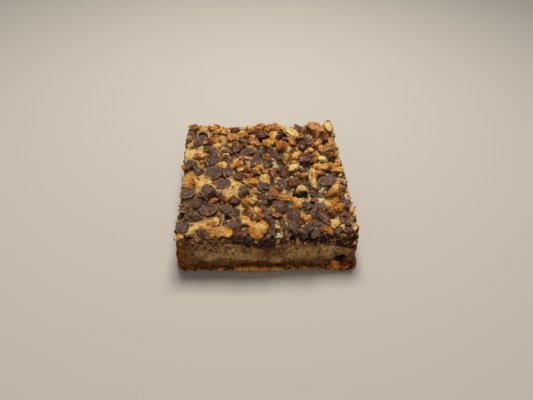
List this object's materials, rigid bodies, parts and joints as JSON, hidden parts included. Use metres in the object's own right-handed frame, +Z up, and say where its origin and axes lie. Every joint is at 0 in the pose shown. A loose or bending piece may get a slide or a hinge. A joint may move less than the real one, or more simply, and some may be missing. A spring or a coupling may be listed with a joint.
{
  "type": "magic bar",
  "caption": "Square-cut baked bar of crumb base, coconut filling and dark chocolate under a browned milk crust set with chocolate chips and chopped nuts.",
  "frame": {"origin": "middle of the flat underside, where the bar rests", "axes": "+Z up through the layers, -Y out of the front cut that the picture shows, +X to its right"},
  "size_m": [0.0857, 0.0889, 0.0266],
  "materials": {
    "crumb": "baked brown crumb, dry and rough",
    "coconut": "moist beige coconut, slightly glossy",
    "chocolate": "dark chocolate, satin",
    "crust": "browned milk crust, satin",
    "nut": "toasted walnut and pecan, lightly oily"
  },
  "bodies": {
    "root": {"crumb_base": "crumb", "coconut_filling": "coconut", "chocolate_band": "chocolate", "topping": "crust"}
  },
  "joints": []
}
